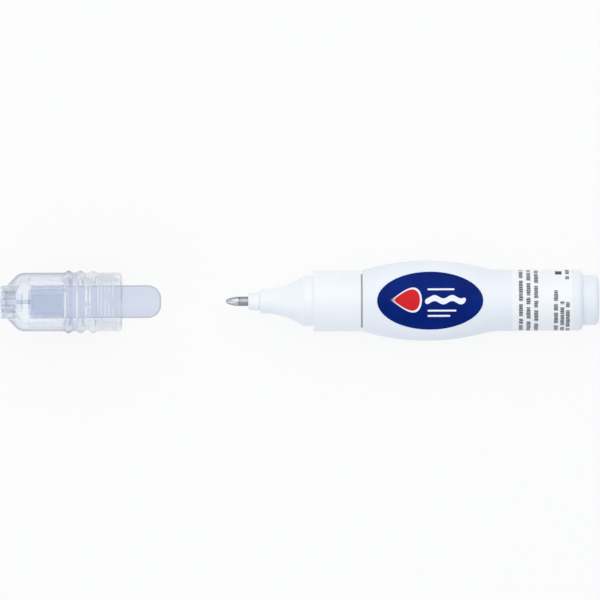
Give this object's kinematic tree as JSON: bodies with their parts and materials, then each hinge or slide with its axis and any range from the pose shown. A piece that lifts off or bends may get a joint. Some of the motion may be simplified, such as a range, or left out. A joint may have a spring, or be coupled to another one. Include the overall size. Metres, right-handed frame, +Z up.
{
  "type": "correction pen",
  "caption": "Squeeze-bottle correction pen with a spring-valved metal ball tip, a tail plug, labels and a clear clip cap that pulls off.",
  "frame": {"origin": "on the pen's axis, in the front face of the front sleeve, where the cap stops", "axes": "+X along the pen's axis towards the tail, +Z up through the middle of the oval label, +Y across the bulge"},
  "size_m": [0.1375, 0.0184, 0.016],
  "materials": {
    "barrel_plastic": "satin",
    "white_plastic": "gloss",
    "gasket_rubber": "matte",
    "polished_steel": "polished",
    "oval_film": "gloss",
    "wrap_film": "satin",
    "clear_plastic": "clear gloss",
    "seal_rubber": "satin"
  },
  "bodies": {
    "pen": {"squeeze_barrel": "barrel_plastic", "front_sleeve": "white_plastic", "nose_cone": "white_plastic", "neck_gasket": "gasket_rubber", "tip_holder": "white_plastic", "metal_tip": "polished_steel", "valve_spring": "polished_steel", "spring_retainer": "white_plastic", "tail_plug": "white_plastic", "oval_label": "oval_film", "wrap_label": "wrap_film"},
    "cap": {"cap_shell": "clear_plastic", "cap_seal": "seal_rubber"},
    "valve": {"valve_rod": "polished_steel"},
    "ball": {"writing_ball": "polished_steel"},
    "mixer": {"mixing_ball": "polished_steel"}
  },
  "joints": [
    {"name": "cap_slide", "type": "slide", "parent": "pen", "child": "cap", "axis": [1, 0, 0], "range_m": [0, 0.04395]},
    {"name": "tip_press", "type": "slide", "parent": "pen", "child": "valve", "axis": [1, 0, 0], "range_m": [0, 0.00025], "stiffness_N_per_m": 400, "springref_m": -0.0005, "deforming": ["valve_spring"]},
    {"name": "ball_roll", "type": "hinge", "parent": "valve", "child": "ball", "pos_m": [-0.0197, 0, 0], "axis": [0, 1, 0], "continuous": true},
    {"name": "mixing_ball_travel", "type": "slide", "parent": "pen", "child": "mixer", "axis": [1, 0, 0], "range_m": [-0.01155, 0.0286]}
  ]
}
